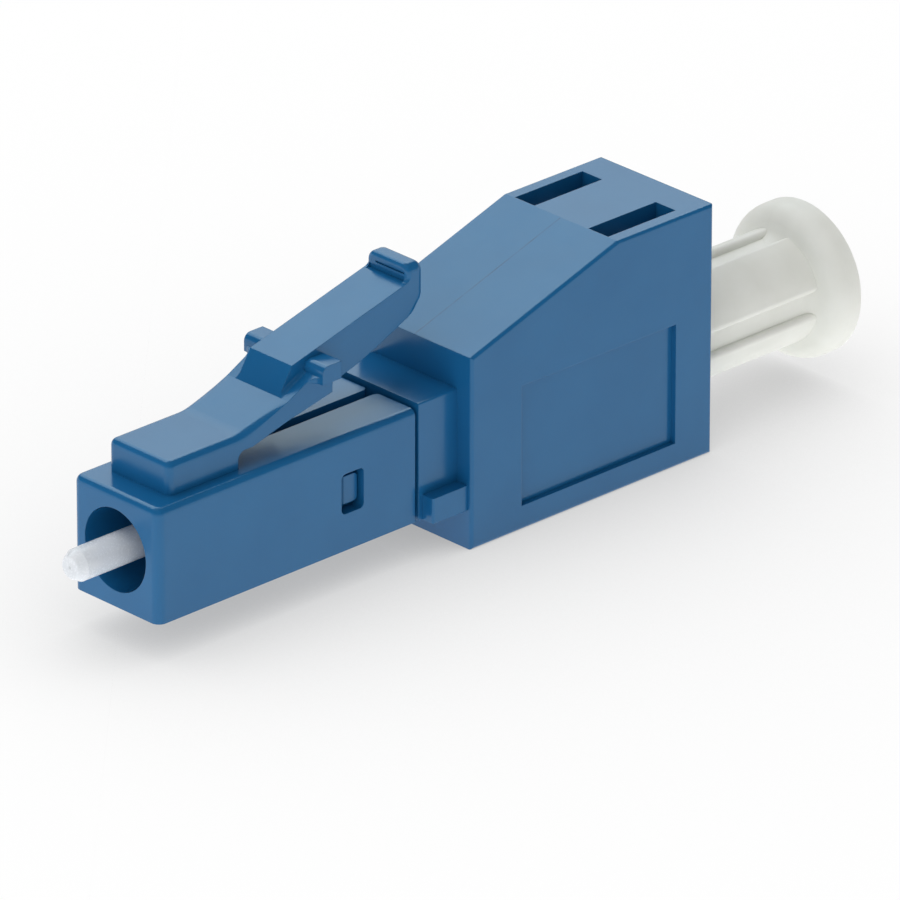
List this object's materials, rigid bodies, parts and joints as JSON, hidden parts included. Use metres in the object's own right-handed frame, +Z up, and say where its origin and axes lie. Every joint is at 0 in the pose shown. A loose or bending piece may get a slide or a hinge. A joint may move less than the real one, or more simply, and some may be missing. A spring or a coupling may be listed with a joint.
{
  "type": "fibre attenuator",
  "caption": "Plug-to-port fibre attenuator with a square latched plug, a sloped housing with side panels and latch windows, and a fluted dust plug in its port.",
  "frame": {"origin": "on the ferrule's axis, in the plane of the plug's front face", "axes": "+X along the ferrule from its tip to the dust plug, +Y to the left seen from the plug, +Z up to the latch"},
  "size_m": [0.0371, 0.006, 0.0111],
  "materials": {
    "blue_moulding": "satin moulded plastic",
    "white_ceramic": "polished ceramic",
    "fibre_glass": "clear",
    "steel": "turned",
    "inner_plastic": "moulded",
    "soft_white": "soft, slightly translucent"
  },
  "bodies": {
    "housing": {"body_housing": "blue_moulding", "plug_housing": "blue_moulding", "ferrule_spring": "steel", "alignment_sleeve": "white_ceramic", "sleeve_holder": "inner_plastic"},
    "latch": {"latch_lever": "blue_moulding"},
    "ferrule_set": {"ferrule": "white_ceramic", "attenuating_fibre": "fibre_glass", "ferrule_flange": "steel"},
    "dust_plug": {"dust_plug": "soft_white"}
  },
  "joints": [
    {"name": "latch_bend", "type": "hinge", "parent": "housing", "child": "latch", "pos_m": [0.00525, 0, 0.00338], "axis": [0, 1, 0], "range_deg": [0, 8], "stiffness_Nm_per_rad": 0.15},
    {"name": "ferrule_slide", "type": "slide", "parent": "housing", "child": "ferrule_set", "axis": [1, 0, 0], "range_m": [0, 0.0005], "stiffness_N_per_m": 1000, "springref_m": -0.003, "deforming": ["ferrule_spring"]},
    {"name": "dust_plug_slide", "type": "slide", "parent": "housing", "child": "dust_plug", "axis": [1, 0, 0], "range_m": [0, 0.0105]}
  ]
}
